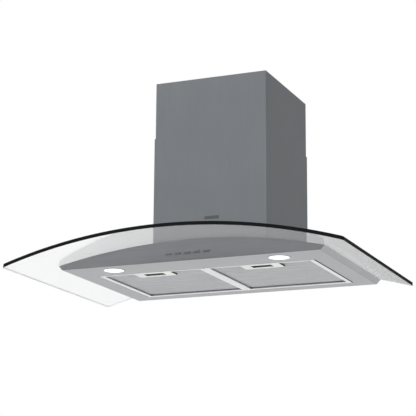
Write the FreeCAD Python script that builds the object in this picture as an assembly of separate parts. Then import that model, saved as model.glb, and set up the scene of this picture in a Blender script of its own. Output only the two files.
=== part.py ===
"""Island range hood: steel canopy, arched glass, telescopic square chimney, twin-inlet blower.

Millimetres, +Z up.  The origin is the centre of the four ceiling bolts on the ceiling face,
the front of the hood is towards -Y and its width lies along X.
"""
import FreeCAD, Part
import math
import os

V = FreeCAD.Vector
os.makedirs("parts", exist_ok=True)

# ---------------------------------------------------------------- driving dimensions
HOOD_DROP = 523.0            # ceiling face to the underside of the bottom panel
GLASS_WIDTH = 900.0
GLASS_THICK = 9.0
GLASS_BOW = 15.0             # how far the front edge bows out in the middle
GLASS_CORNER = 8.0
SIDE_FRONT_Y = -432.0        # front end of the glass's straight sides
GLASS_REAR_Y = 168.0

BODY_FRONT_Y = -299.0
BODY_REAR_Y = 167.0
BODY_HALF_BOTTOM = 350.0
BODY_HALF_TOP = 360.0
BODY_CROWN = 53.0            # height of the canopy body in the middle
BODY_KNEE = 11.0             # height of the slanted lower part of its sides
ARCH_RADIUS = 1567.0         # outer radius of the canopy's arched top
SHEET = 1.0                  # stainless sheet
FOLD_RADIUS = 0.8

CHIMNEY = 318.0              # lower chimney section, outside
CHIMNEY_UPPER = 314.0        # upper section, which slides inside the lower one
LOWER_TOP_Z = -154.0
UPPER_LENGTH = 400.0
CHIMNEY_LIP = 15.0           # width of the folded lips at the rear edges
CHIMNEY_LIFT = 0.5           # gap between the chimney's lower edge and the glass

FILTER_GAP = 0.75            # half of the seam between the two filters
FILTER_OUTER_X = 297.0
FILTER_FRONT_Y = -192.5
FILTER_REAR_Y = 119.0
FILTER_BORDER = 12.5
FILTER_FRONT_BORDER = 5.0
FILTER_HEIGHT = 10.0
FILTER_PROUD = 0.8           # the frames stand this far below the bottom panel
FILTER_CORNER = 2.5
FILTER_SHEET = 1.0
MESH_RECESS = 4.0
OPENING_HALF_X = 300.0
OPENING_FRONT_Y = -193.5
OPENING_REAR_Y = 120.0

BUTTON_COUNT = 5
BUTTON_PITCH = 25.7
BUTTON_W = 18.0
BUTTON_H = 5.0
BUTTON_Z = 20.3              # above the bottom panel's underside
BUTTON_PROUD = 1.8
BUTTON_CLEARANCE = 0.5
BUTTON_EDGE = 0.6            # rounding of a button's front edge

LAMP_X = 226.0
LAMP_Y = -250.0
LAMP_R = 27.5

DUCT_R = 75.0                # outside of the 150 mm outlet collar
RAIL_LEG = 25.0
RAIL_OUTER = 150.0           # outside face of the lower rails
RAIL_THICK = 2.0

# ---------------------------------------------------------------- derived dimensions
Z_BOTTOM = -HOOD_DROP
Z_CROWN = Z_BOTTOM + BODY_CROWN
ARCH_Z = Z_CROWN - ARCH_RADIUS
GASKET = 0.8
GLASS_UNDER_R = ARCH_RADIUS + GASKET
GLASS_TOP_R = GLASS_UNDER_R + GLASS_THICK
HALF_LOWER = CHIMNEY / 2
HALF_UPPER = CHIMNEY_UPPER / 2
BOX_HALF = RAIL_OUTER - RAIL_THICK
Z_BUTTON = Z_BOTTOM + BUTTON_Z
Z_FILTER = Z_BOTTOM - FILTER_PROUD
FILTER_MID_X = (FILTER_GAP + FILTER_OUTER_X) / 2
FAR = 600.0                  # further than the hood reaches from its middle
CUT_Z0 = Z_BOTTOM - 80.0     # a height range that holds the whole arch of the glass
CUT_Z1 = Z_CROWN + 40.0
CORNERS = [(1, 1), (1, -1), (-1, 1), (-1, -1)]


# ---------------------------------------------------------------- helpers
def save(shape, name):
    """Write one node, and stop on a broken solid."""
    if not shape.isValid():
        raise ValueError("invalid shape: " + name)
    shape.exportStep("parts/" + name + ".step")
    print(name, len(shape.Solids), round(shape.Volume / 1000.0, 2), "cm3")


def box(x0, x1, y0, y1, z0, z1):
    return Part.makeBox(x1 - x0, y1 - y0, z1 - z0, V(x0, y0, z0))


def cyl(radius, start, axis, length):
    return Part.makeCylinder(radius, length, start, axis)


def tube(outer, inner, start, axis, length):
    return cyl(outer, start, axis, length).cut(cyl(inner, start, axis, length))


def fuse(shapes):
    whole = shapes[0].fuse(shapes[1:]) if len(shapes) > 1 else shapes[0]
    return whole.removeSplitter()


def group(shapes):
    return Part.makeCompound(shapes)


def cut(shape, tools):
    for tool in tools:
        shape = shape.cut(tool)
    return shape


def prism(points, direction):
    """Extrude a closed polygon."""
    return Part.Face(Part.makePolygon(points + [points[0]])).extrude(direction)


def mirror_x(shape):
    return shape.mirror(V(0, 0, 0), V(1, 0, 0))


def vault(radius, y0, y1):
    """Solid cylinder along Y, concentric with the canopy's arch."""
    return cyl(radius, V(0, y0, ARCH_Z), V(0, 1, 0), y1 - y0)


def slab(radius_in, radius_out, half_x, y0, y1):
    """Piece of the arch between two radii."""
    window = box(-half_x, half_x, y0, y1, CUT_Z0, CUT_Z1)
    return window.common(vault(radius_out, y0, y1)).cut(vault(radius_in, -FAR, FAR))


def rounded_rect(x0, x1, y0, y1, z0, z1, radius):
    """Box whose vertical edges are rounded."""
    solid = box(x0, x1, y0, y1, z0, z1)
    edges = [e for e in solid.Edges if abs(e.Vertexes[0].Z - e.Vertexes[1].Z) > 0.5 * (z1 - z0)]
    return solid.makeFillet(radius, edges)


def square_tube(half, wall, z0, z1):
    outer = box(-half, half, -half, half, z0, z1)
    inner_half = half - wall
    return outer.cut(box(-inner_half, inner_half, -inner_half, inner_half, z0 - 1, z1 + 1))


def angle_at_corner(sx, sy, outer, leg, thick, z0, z1):
    """L-section upright whose outer corner is at (sx*outer, sy*outer)."""
    flat_x = box(outer - leg, outer, outer - thick, outer, z0, z1)
    flat_y = box(outer - thick, outer, outer - leg, outer, z0, z1)
    shape = fuse([flat_x, flat_y])
    if sx < 0:
        shape = mirror_x(shape)
    if sy < 0:
        shape = shape.mirror(V(0, 0, 0), V(0, 1, 0))
    return shape


def arched_bottom(shape):
    """Trim a chimney panel so that it stands just clear of the glass."""
    return shape.cut(vault(GLASS_TOP_R + CHIMNEY_LIFT, -FAR, FAR))


# ---------------------------------------------------------------- ceiling frame
CEILING_HALF = 150.0
CEILING_THICK = 2.0
CEILING_CORNER = 6.0
BOLT_PITCH = 240.0
BOLT_HOLE_R = 4.0
DUCT_HOLE_R = 100.0
RAIL_CLEARANCE = 0.5         # between the upper rails and the lower ones inside them
UPPER_RAIL_OUTER = RAIL_OUTER + RAIL_CLEARANCE + RAIL_THICK
UPPER_RAIL_END = -355.0
SLOT_TOP = -70.0
SLOT_END = -340.0
SLOT_HALF = 3.4
SLOT_MID = RAIL_OUTER - 11.0
LOWER_RAIL_TOP = -60.0
LOWER_RAIL_END = -455.0
HEIGHT_BOLTS_Z = (-80.0, -110.0)
BOLT_R = 3.0
BOLT_TAIL = 6.0              # how far a height bolt reaches past the lower rail
BOLT_HEAD_R = 6.5
BOLT_HEAD = 2.2
BOLT_HEAD_GAP = 0.4          # washer gap under the head
NUT_R = 5.77
NUT = 5.0


def ceiling_plate():
    plate = rounded_rect(-CEILING_HALF, CEILING_HALF, -CEILING_HALF, CEILING_HALF,
                         -CEILING_THICK, 0, CEILING_CORNER)
    holes = [cyl(DUCT_HOLE_R, V(0, 0, -CEILING_THICK), V(0, 0, 1), CEILING_THICK)]
    for sx, sy in CORNERS:
        centre = V(sx * BOLT_PITCH / 2, sy * BOLT_PITCH / 2, -CEILING_THICK)
        holes.append(cyl(BOLT_HOLE_R, centre, V(0, 0, 1), CEILING_THICK))
    return cut(plate, holes)


def slot_x(sx, sy):
    """Long height-adjustment slot through the X-facing leg of an upper rail."""
    reach = UPPER_RAIL_OUTER + 2
    y_mid = sy * SLOT_MID
    body = box(-reach, reach, y_mid - SLOT_HALF, y_mid + SLOT_HALF,
               SLOT_END + SLOT_HALF, SLOT_TOP - SLOT_HALF)
    ends = [cyl(SLOT_HALF, V(-reach, y_mid, z), V(1, 0, 0), 2 * reach)
            for z in (SLOT_END + SLOT_HALF, SLOT_TOP - SLOT_HALF)]
    whole = fuse([body] + ends)
    side = box(0, reach, y_mid - 10, y_mid + 10, SLOT_END - 5, SLOT_TOP + 5)
    if sx < 0:
        side = mirror_x(side)
    return whole.common(side)


def upper_rails():
    rails = []
    for sx, sy in CORNERS:
        rail = angle_at_corner(sx, sy, UPPER_RAIL_OUTER, RAIL_LEG + 2, RAIL_THICK,
                               UPPER_RAIL_END, -CEILING_THICK)
        rails.append(rail.cut(slot_x(sx, sy)))
    return group(rails)


def chimney_u(half, z0, z1):
    """Front and two sides folded from one sheet, with narrow lips at the rear edge."""
    shell = square_tube(half, SHEET, z0, z1)
    gap = half - CHIMNEY_LIP
    opening = box(-gap, gap, half - SHEET - 1, half + 1, z0 - 1, z1 + 1)
    shell = shell.cut(opening)
    edges = []
    for e in shell.Edges:
        a = e.Vertexes[0].Point
        b = e.Vertexes[-1].Point
        upright = abs(a.z - b.z) > 0.5 * (z1 - z0)
        at_corner = abs(abs(a.x) - half) < 0.01 and abs(abs(a.y) - half) < 0.01
        if upright and at_corner:
            edges.append(e)
    return shell.makeFillet(FOLD_RADIUS, edges)


def upper_chimney():
    return chimney_u(HALF_UPPER, -UPPER_LENGTH, 0)


def upper_chimney_back():
    inner = HALF_UPPER - SHEET
    return box(-inner + 1, inner - 1, inner - SHEET, inner, -UPPER_LENGTH, -CEILING_THICK)


# ---------------------------------------------------------------- lower chimney and its frame
def lower_chimney():
    return arched_bottom(chimney_u(HALF_LOWER, Z_BOTTOM, LOWER_TOP_Z))


BACK_SCREW_Z = (-170.0, -310.0, -445.0)
BACK_SCREW_X = HALF_LOWER - 8.0
SCREW_HEAD_R = 3.8
SCREW_HEAD = 1.8             # height of the head
SCREW_SHANK_R = 2.0
SCREW_SHANK_HOLE_R = 2.1
CROSS_REACH = 2.2            # half length and half width of the head's cross recess
CROSS_HALF = 0.45
CROSS_DEPTH = 0.9


def lower_chimney_back():
    panel = box(-HALF_LOWER + 2, HALF_LOWER - 2, HALF_LOWER, HALF_LOWER + SHEET,
                Z_BOTTOM, LOWER_TOP_Z)
    panel = arched_bottom(panel)
    holes = [cyl(SCREW_SHANK_HOLE_R, V(sx * BACK_SCREW_X, HALF_LOWER, z), V(0, 1, 0), SHEET)
             for sx in (1, -1) for z in BACK_SCREW_Z]
    return cut(panel, holes)


def back_screws():
    """Pan-head screws with a cross recess that hold the rear chimney panel."""
    screws = []
    face_y = HALF_LOWER + SHEET
    top_y = face_y + SCREW_HEAD
    cross_y = top_y - CROSS_DEPTH
    for sx in (1, -1):
        for z in BACK_SCREW_Z:
            x = sx * BACK_SCREW_X
            head = cyl(SCREW_HEAD_R, V(x, face_y, z), V(0, 1, 0), SCREW_HEAD)
            shank = cyl(SCREW_SHANK_R, V(x, HALF_LOWER, z), V(0, 1, 0), SHEET)
            level = box(x - CROSS_REACH, x + CROSS_REACH, cross_y, top_y,
                        z - CROSS_HALF, z + CROSS_HALF)
            upright = box(x - CROSS_HALF, x + CROSS_HALF, cross_y, top_y,
                          z - CROSS_REACH, z + CROSS_REACH)
            cross = fuse([level, upright])
            screws.append(fuse([head, shank]).cut(cross))
    return group(screws)


def lower_rails():
    rails = []
    for sx, sy in CORNERS:
        rail = angle_at_corner(sx, sy, RAIL_OUTER, RAIL_LEG, RAIL_THICK,
                               LOWER_RAIL_END, LOWER_RAIL_TOP)
        holes = [cyl(BOLT_R + 0.1, V(sx * BOX_HALF, sy * SLOT_MID, z), V(sx, 0, 0), RAIL_THICK)
                 for z in HEIGHT_BOLTS_Z]
        rails.append(cut(rail, holes))
    return group(rails)


def height_bolts():
    """M6 bolts: low head outside the upper rail, nut inside the lower rail."""
    bolts = []
    head_face = UPPER_RAIL_OUTER + BOLT_HEAD_GAP
    tail = BOX_HALF - BOLT_TAIL
    for sx, sy in CORNERS:
        for z in HEIGHT_BOLTS_Z:
            y = sy * SLOT_MID
            head = cyl(BOLT_HEAD_R, V(sx * head_face, y, z), V(sx, 0, 0), BOLT_HEAD)
            shank = cyl(BOLT_R, V(sx * tail, y, z), V(sx, 0, 0), head_face - tail)
            flats = [V(sx * (BOX_HALF - NUT), y + NUT_R * math.cos(k * math.pi / 3),
                       z + NUT_R * math.sin(k * math.pi / 3)) for k in range(6)]
            nut = prism(flats, V(sx * NUT, 0, 0))
            bolts.append(fuse([head, shank, nut]))
    return group(bolts)


CLIP_Z0 = -448.0
CLIP_Z1 = -412.0
CLIP_STEP_Z = CLIP_Z0 + 14.0
CLIP_THICK = 1.5
CLIP_Y = 112.0
CLIP_HALF = 8.0


def chimney_clips():
    """Z-shaped spacers between the blower box and the chimney's side walls."""
    clips = []
    wall_x = HALF_LOWER - SHEET
    for sx, sy in CORNERS:
        y0 = sy * CLIP_Y - CLIP_HALF
        y1 = y0 + 2 * CLIP_HALF
        foot = box(BOX_HALF, BOX_HALF + CLIP_THICK, y0, y1, CLIP_Z0, CLIP_STEP_Z)
        web = box(BOX_HALF, wall_x, y0, y1, CLIP_STEP_Z, CLIP_STEP_Z + CLIP_THICK)
        pad = box(wall_x - CLIP_THICK, wall_x, y0, y1, CLIP_STEP_Z, CLIP_Z1)
        clip = fuse([foot, web, pad])
        clips.append(clip if sx > 0 else mirror_x(clip))
    return group(clips)


# ---------------------------------------------------------------- canopy body
def body_outline(inset):
    """Front outline of the canopy, from its bottom corners up past the arch."""
    bottom = BODY_HALF_BOTTOM - inset
    top = BODY_HALF_TOP - inset
    right = [V(bottom, 0, Z_BOTTOM), V(top, 0, Z_BOTTOM + BODY_KNEE), V(top, 0, CUT_Z1)]
    left = [V(-p.x, 0, p.z) for p in reversed(right)]
    return right + left


def body_prism(inset):
    """The canopy's outline as a block, as deep as the canopy, with the inset taken off all round."""
    y0 = BODY_FRONT_Y + inset
    y1 = BODY_REAR_Y - inset
    return prism([V(p.x, y0, p.z) for p in body_outline(inset)], V(0, y1 - y0, 0))


def button_x(index):
    return (index - (BUTTON_COUNT - 1) / 2) * BUTTON_PITCH


def pill(x, z, width, height, y0, y1):
    """Rounded-end bar lying along X, extruded in Y."""
    flat = (width - height) / 2
    bar = box(x - flat, x + flat, y0, y1, z - height / 2, z + height / 2)
    ends = [cyl(height / 2, V(x + s * flat, y0, z), V(0, 1, 0), y1 - y0) for s in (-1, 1)]
    return fuse([bar] + ends)


def button_holes(y0, depth):
    """One clear hole round each button."""
    width = BUTTON_W + 2 * BUTTON_CLEARANCE
    height = BUTTON_H + 2 * BUTTON_CLEARANCE
    return [pill(button_x(i), Z_BUTTON, width, height, y0, y0 + depth) for i in range(BUTTON_COUNT)]


def body_shell():
    """Front fascia, two short sides and rear wall, folded and welded from one sheet."""
    outer = body_prism(0).common(vault(ARCH_RADIUS, -FAR, FAR))
    shell = outer.cut(body_prism(SHEET))
    return cut(shell, button_holes(BODY_FRONT_Y, SHEET))


def top_cover():
    """Arched sheet that closes the canopy between its walls, open under the blower box."""
    layer = vault(ARCH_RADIUS, -FAR, FAR).cut(vault(ARCH_RADIUS - SHEET, -FAR, FAR))
    sheet = body_prism(SHEET).common(layer)
    return sheet.cut(box(-BOX_HALF, BOX_HALF, -BOX_HALF, BOX_HALF, CUT_Z0, CUT_Z1))


FLANGE_HEIGHT = 14.0
RIB_HALF = 11.0
RIB_HEIGHT = 9.0
TAB_X = 80.0                 # hinge tabs, either side of each filter's middle
TAB_HALF = 8.0
TAB_REACH = 5.0              # how far a tab passes through the rear flange
TAB_Z0 = Z_BOTTOM + 2.0
TAB_THICK = 1.2
TAB_SLOT_Z1 = Z_BOTTOM + 11.5
LATCH_NOSE_HALF = 27.0
NOSE_Z0 = Z_BOTTOM + 4.6
NOSE_Z1 = NOSE_Z0 + 2.0
PANEL_FIT = 0.3              # side gap between the bottom panel and the walls


def tab_slot(x):
    """Slot in the rear flange, tall enough for its tab to tilt."""
    return box(x - TAB_HALF - 1, x + TAB_HALF + 1, OPENING_REAR_Y, OPENING_REAR_Y + SHEET,
               TAB_Z0 - 0.6, TAB_SLOT_Z1)


def bottom_panel():
    """Bottom sheet with a flanged opening for the filters and two lamp holes."""
    half = BODY_HALF_BOTTOM - SHEET - PANEL_FIT
    y0 = BODY_FRONT_Y + SHEET
    y1 = BODY_REAR_Y - SHEET
    sheet = box(-half, half, y0, y1, Z_BOTTOM, Z_BOTTOM + SHEET)
    rim = box(-OPENING_HALF_X - SHEET, OPENING_HALF_X + SHEET, OPENING_FRONT_Y - SHEET,
              OPENING_REAR_Y + SHEET, Z_BOTTOM, Z_BOTTOM + FLANGE_HEIGHT)
    opening = box(-OPENING_HALF_X, OPENING_HALF_X, OPENING_FRONT_Y, OPENING_REAR_Y,
                  Z_BOTTOM, Z_BOTTOM + FLANGE_HEIGHT)
    panel = fuse([sheet, rim]).cut(opening)
    tools = []
    for side in (-1, 1):
        mid = side * FILTER_MID_X
        tools += [tab_slot(mid - TAB_X), tab_slot(mid + TAB_X)]
        tools.append(box(mid - LATCH_NOSE_HALF - 1, mid + LATCH_NOSE_HALF + 1,
                         OPENING_FRONT_Y - SHEET, OPENING_FRONT_Y, NOSE_Z0 - 0.5, NOSE_Z1 + 0.5))
        tools.append(cyl(LAMP_R, V(side * LAMP_X, LAMP_Y, Z_BOTTOM), V(0, 0, 1), SHEET))
    return cut(panel, tools)


def centre_rib():
    """Stiffener across the opening, above the seam between the two filters."""
    z0 = Z_FILTER + FILTER_HEIGHT + 1.0
    flat = box(-RIB_HALF, RIB_HALF, OPENING_FRONT_Y, OPENING_REAR_Y, z0, z0 + SHEET)
    web = box(-SHEET / 2, SHEET / 2, OPENING_FRONT_Y, OPENING_REAR_Y, z0, z0 + RIB_HEIGHT)
    return fuse([flat, web])


# ---------------------------------------------------------------- glass
GLASS_HOLE_HALF = BOX_HALF + 3.0
GLASS_HOLE_CORNER = 6.0
SEAL_INSET = 3.0
SEAL_WIDTH = 9.0


def glass_outline():
    """Plan outline: straight rear and sides, front edge bowed as one arc."""
    half = GLASS_WIDTH / 2
    front = SIDE_FRONT_Y
    left = Part.LineSegment(V(-half, GLASS_REAR_Y, 0), V(-half, front, 0)).toShape()
    bow = Part.Arc(V(-half, front, 0), V(0, front - GLASS_BOW, 0), V(half, front, 0)).toShape()
    right = Part.LineSegment(V(half, front, 0), V(half, GLASS_REAR_Y, 0)).toShape()
    rear = Part.LineSegment(V(half, GLASS_REAR_Y, 0), V(-half, GLASS_REAR_Y, 0)).toShape()
    return Part.Wire([left, bow, right, rear])


def glass_canopy():
    """Tempered glass bent about an axis along Y, with a square cut-out for the blower box."""
    plan = Part.Face(glass_outline()).extrude(V(0, 0, CUT_Z1 - CUT_Z0))
    upright = [e for e in plan.Edges if abs(e.Vertexes[0].Z - e.Vertexes[-1].Z) > 1]
    plan = plan.makeFillet(GLASS_CORNER, upright)
    plan.translate(V(0, 0, CUT_Z0))
    sheet = plan.common(vault(GLASS_TOP_R, -FAR, FAR)).cut(vault(GLASS_UNDER_R, -FAR, FAR))
    hole = rounded_rect(-GLASS_HOLE_HALF, GLASS_HOLE_HALF, -GLASS_HOLE_HALF, GLASS_HOLE_HALF,
                        CUT_Z0, CUT_Z1, GLASS_HOLE_CORNER)
    return sheet.cut(hole)


def glass_gasket():
    """Thin clear seal under the glass: a rim strip and a strip round the cut-out."""
    half = BODY_HALF_TOP - SEAL_INSET
    y0 = BODY_FRONT_Y + SEAL_INSET
    y1 = BODY_REAR_Y - SEAL_INSET
    rim = slab(ARCH_RADIUS, GLASS_UNDER_R, half, y0, y1)
    rim = rim.cut(box(-half + SEAL_WIDTH, half - SEAL_WIDTH, y0 + SEAL_WIDTH, y1 - SEAL_WIDTH,
                      CUT_Z0, CUT_Z1))
    lip = GLASS_HOLE_HALF + SEAL_WIDTH
    neck = slab(ARCH_RADIUS, GLASS_UNDER_R, lip, -lip, lip)
    neck = neck.cut(box(-GLASS_HOLE_HALF, GLASS_HOLE_HALF, -GLASS_HOLE_HALF, GLASS_HOLE_HALF,
                        CUT_Z0, CUT_Z1))
    return group([rim, neck.cut(rim)])


# ---------------------------------------------------------------- blower
BLOWER_Y = -45.0
BLOWER_Z = -350.0
BOX_BOTTOM = -482.0
BOX_TOP = -236.0
SCROLL_START_R = 74.0
SCROLL_END_R = 103.0
SCROLL_HALF = 45.0
SCROLL_WALL = 1.5
SCROLL_STEPS = 12
TONGUE_ANGLE = 60.0
INLET_R = 58.0
INLET_RING = 4.0             # wall and
INLET_RING_OUT = 5.0         # height of the ring round each inlet
MOUTH_Y0 = BLOWER_Y + SCROLL_START_R / 2
MOUTH_Y1 = BLOWER_Y + SCROLL_END_R
MOUTH_HALF = SCROLL_HALF - SCROLL_WALL
WHEEL_R = 68.0
WHEEL_HALF = 40.0
WHEEL_SHEET = 2.0
WHEEL_RING = 8.0
HUB_R = 12.0
HUB_HALF = 14.0
BLADES = 32
BLADE_DEPTH = 10.0
BLADE_THICK = 1.0
BLADE_PITCH = 35.0           # degrees, leaning forward
MOTOR_R = 40.0
MOTOR_X0 = -112.0
MOTOR_X1 = -56.0
MOTOR_BOSS_R = 14.0
MOTOR_GROOVES = (8.0, 16.0, 37.0, 45.0)
GROOVE_WIDTH = 3.0
GROOVE_DEPTH = 2.0
SHAFT_R = 5.0
SHAFT_X0 = MOTOR_X0 + 3.0
SHAFT_X1 = 20.0
BRACKET_X = MOTOR_X0 + 22.0
BRACKET_WIDTH = 12.0
BRACKET_THICK = 2.0
BRACKET_RING = 2.5
LID_LIP = 12.0
BLOWER_AXIS = V(0, BLOWER_Y, BLOWER_Z)


def along_x(x):
    return V(x, BLOWER_Y, BLOWER_Z)


def blower_box():
    """Square steel tube that carries the blower, glass and canopy; hangs on the lower rails."""
    shell = square_tube(BOX_HALF, SHEET, BOX_BOTTOM, BOX_TOP)
    lip = square_tube(BOX_HALF, LID_LIP, BOX_TOP - SHEET, BOX_TOP)
    return fuse([shell, lip])


def scroll_profile(extra):
    """Snail outline in the YZ plane; 'extra' thickens it outwards."""
    points = []
    for k in range(SCROLL_STEPS + 1):
        share = k / SCROLL_STEPS
        angle = math.radians(TONGUE_ANGLE + share * (360.0 - TONGUE_ANGLE))
        radius = SCROLL_START_R + share * (SCROLL_END_R - SCROLL_START_R) + extra
        points.append(V(0, BLOWER_Y + radius * math.cos(angle), BLOWER_Z + radius * math.sin(angle)))
    spiral = Part.BSplineCurve()
    spiral.interpolate(points)
    first = points[0]
    last = points[-1]
    up_left = V(0, first.y, BOX_TOP)
    up_right = V(0, last.y, BOX_TOP)
    edges = [spiral.toShape(),
             Part.LineSegment(last, up_right).toShape(),
             Part.LineSegment(up_right, up_left).toShape(),
             Part.LineSegment(up_left, first).toShape()]
    return Part.Face(Part.Wire(edges))


def blower_half(side):
    """One half of the scroll housing: half of the snail wall and a side cheek with an inlet."""
    outer = scroll_profile(SCROLL_WALL).extrude(V(SCROLL_HALF, 0, 0))
    inner = scroll_profile(0).extrude(V(MOUTH_HALF, 0, 0))
    mouth = box(0, MOUTH_HALF, MOUTH_Y0, MOUTH_Y1, BOX_TOP - 6, BOX_TOP)
    inlet = cyl(INLET_R, along_x(0), V(1, 0, 0), SCROLL_HALF)
    shell = outer.cut(inner).cut(mouth).cut(inlet)
    ring = tube(INLET_R + INLET_RING, INLET_R, along_x(SCROLL_HALF), V(1, 0, 0), INLET_RING_OUT)
    half = fuse([shell, ring])
    return half if side > 0 else mirror_x(half)


def blower_wheel():
    """Double-inlet squirrel-cage wheel: centre disc, hub, end rings and forward-curved blades."""
    disc = cyl(WHEEL_R - 1, along_x(-WHEEL_SHEET / 2), V(1, 0, 0), WHEEL_SHEET)
    hub = cyl(HUB_R, along_x(-HUB_HALF), V(1, 0, 0), 2 * HUB_HALF)
    rings = [tube(WHEEL_R, WHEEL_R - WHEEL_RING, along_x(x), V(1, 0, 0), WHEEL_SHEET)
             for x in (-WHEEL_HALF, WHEEL_HALF - WHEEL_SHEET)]
    rim = tube(WHEEL_R, WHEEL_R - BLADE_DEPTH - 1, along_x(-WHEEL_HALF), V(1, 0, 0), 2 * WHEEL_HALF)
    blades = []
    for k in range(BLADES):
        blade = box(1 - WHEEL_HALF, WHEEL_HALF - 1, -BLADE_THICK / 2, BLADE_THICK / 2,
                    WHEEL_R - 0.5 - BLADE_DEPTH, WHEEL_R - 0.5)
        blade.rotate(V(0, 0, WHEEL_R - BLADE_DEPTH / 2), V(1, 0, 0), BLADE_PITCH)
        blade.rotate(V(0, 0, 0), V(1, 0, 0), 360.0 * k / BLADES)
        blade.translate(BLOWER_AXIS)
        blades.append(blade.common(rim))
    wheel = fuse([disc, hub] + rings + blades)
    return wheel.cut(cyl(SHAFT_R, along_x(-HUB_HALF), V(1, 0, 0), 2 * HUB_HALF))


def blower_shaft():
    return cyl(SHAFT_R, along_x(SHAFT_X0), V(1, 0, 0), SHAFT_X1 - SHAFT_X0)


def motor():
    """Capacitor-run motor: ribbed can with a boss at each end and a through bore."""
    can = cyl(MOTOR_R, along_x(MOTOR_X0), V(1, 0, 0), MOTOR_X1 - MOTOR_X0)
    bosses = [cyl(MOTOR_BOSS_R, along_x(MOTOR_X1), V(1, 0, 0), 5),
              cyl(MOTOR_BOSS_R, along_x(MOTOR_X0 - 4), V(1, 0, 0), 4)]
    grooves = [tube(MOTOR_R + 1, MOTOR_R - GROOVE_DEPTH, along_x(MOTOR_X0 + x), V(1, 0, 0), GROOVE_WIDTH)
               for x in MOTOR_GROOVES]
    body = cut(fuse([can] + bosses), grooves)
    return body.cut(cyl(SHAFT_R + 0.05, along_x(MOTOR_X0 - 1), V(1, 0, 0), FAR))


def motor_bracket():
    """Ring round the motor with three flat arms screwed to the housing's cheek."""
    cheek = -SCROLL_HALF - INLET_RING_OUT
    half = BRACKET_WIDTH / 2
    inner = MOTOR_R + BRACKET_RING - BRACKET_THICK
    ring = tube(MOTOR_R + BRACKET_RING, MOTOR_R, along_x(BRACKET_X), V(1, 0, 0), BRACKET_WIDTH)
    arms = []
    for k in range(3):
        along = box(BRACKET_X, cheek, -half, half, inner, inner + BRACKET_THICK)
        foot = box(cheek - BRACKET_THICK, cheek, -half, half, inner, INLET_R + INLET_RING - 0.5)
        arm = fuse([along, foot])
        arm.rotate(V(0, 0, 0), V(1, 0, 0), 30 + 120 * k)
        arm.translate(BLOWER_AXIS)
        arms.append(arm)
    return fuse([ring] + arms)


def blower_lid():
    """Top plate of the blower box, with the scroll's rectangular mouth."""
    plate = box(-BOX_HALF, BOX_HALF, -BOX_HALF, BOX_HALF, BOX_TOP, BOX_TOP + SHEET)
    return plate.cut(box(-MOUTH_HALF, MOUTH_HALF, MOUTH_Y0, MOUTH_Y1, BOX_TOP, BOX_TOP + SHEET))


COLLAR_Z0 = BOX_TOP + SHEET
COLLAR_HEIGHT = 60.0
COLLAR_WALL = 2.0
COLLAR_FLANGE = 15.0
COLLAR_FLANGE_THICK = 3.0
FLAP_Z = COLLAR_Z0 + 35.0
FLAP_R = DUCT_R - COLLAR_WALL - 0.6
FLAP_THICK = 1.0
FLAP_EDGE = 3.6              # distance of a flap's straight edge from the rod's centre line
FLAP_ROD_R = 1.5
BARREL_R = 3.0
FLAP_BARRELS = {1: ((-60.0, -42.0), (12.0, 30.0)), -1: ((-30.0, -12.0), (42.0, 60.0))}


def outlet_collar():
    """Moulded 150 mm spigot with a flange and two holes for the flap rod."""
    base = V(0, 0, COLLAR_Z0)
    bore = DUCT_R - COLLAR_WALL
    flange = tube(DUCT_R + COLLAR_FLANGE, bore, base, V(0, 0, 1), COLLAR_FLANGE_THICK)
    wall = tube(DUCT_R, bore, base, V(0, 0, 1), COLLAR_HEIGHT)
    collar = fuse([flange, wall])
    return collar.cut(cyl(FLAP_ROD_R, V(-FAR, 0, FLAP_Z), V(1, 0, 0), 2 * FAR))


def flap_rod():
    return cyl(FLAP_ROD_R, V(-DUCT_R, 0, FLAP_Z), V(1, 0, 0), 2 * DUCT_R)


def damper_flap(side):
    """Half-round check flap with two barrels on the rod; side is +1 for the rear one."""
    z0 = FLAP_Z - FLAP_THICK / 2
    z1 = FLAP_Z + FLAP_THICK / 2
    y0, y1 = sorted((side * FLAP_EDGE, side * FAR))
    pieces = [cyl(FLAP_R, V(0, 0, z0), V(0, 0, 1), FLAP_THICK).common(box(-FAR, FAR, y0, y1, z0, z1))]
    neck_y0, neck_y1 = sorted((side * (FLAP_ROD_R + 0.5), side * (FLAP_EDGE + 1.4)))
    for x0, x1 in FLAP_BARRELS[side]:
        pieces.append(cyl(BARREL_R, V(x0, 0, FLAP_Z), V(1, 0, 0), x1 - x0))
        pieces.append(box(x0, x1, neck_y0, neck_y1, z0, z1))
    return fuse(pieces).cut(cyl(FLAP_ROD_R + 0.05, V(-FAR, 0, FLAP_Z), V(1, 0, 0), 2 * FAR))


# ---------------------------------------------------------------- electrics and controls
BANK_HALF = 68.0
BANK_Z0 = Z_BOTTOM + 11.0
BANK_Z1 = Z_BOTTOM + 30.0
BANK_Y0 = BODY_FRONT_Y + SHEET
BANK_Y1 = BANK_Y0 + 24.0
BANK_WALL = 2.0
BANK_FRONT = 10.0            # depth of the moulded block that guides the buttons
CAP_DEPTH = 6.0              # how far a button's cap reaches into it
STEM_HALF = 2.0
STEM_LENGTH = 5.0
BOARD_THICK = 1.6
BOARD_Y = BANK_Y1 - 6.0
SWITCH_HALF = 3.0
SWITCH_DEPTH = 5.2


def switch_bank():
    """Moulded carrier behind the fascia, with a guide hole for each button."""
    block = box(-BANK_HALF, BANK_HALF, BANK_Y0, BANK_Y1, BANK_Z0, BANK_Z1)
    pocket = box(BANK_WALL - BANK_HALF, BANK_HALF - BANK_WALL, BANK_Y0 + BANK_FRONT, BANK_Y1,
                 BANK_Z0 + BANK_WALL, BANK_Z1 - BANK_WALL)
    return cut(block, [pocket] + button_holes(BANK_Y0, BANK_FRONT))


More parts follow.
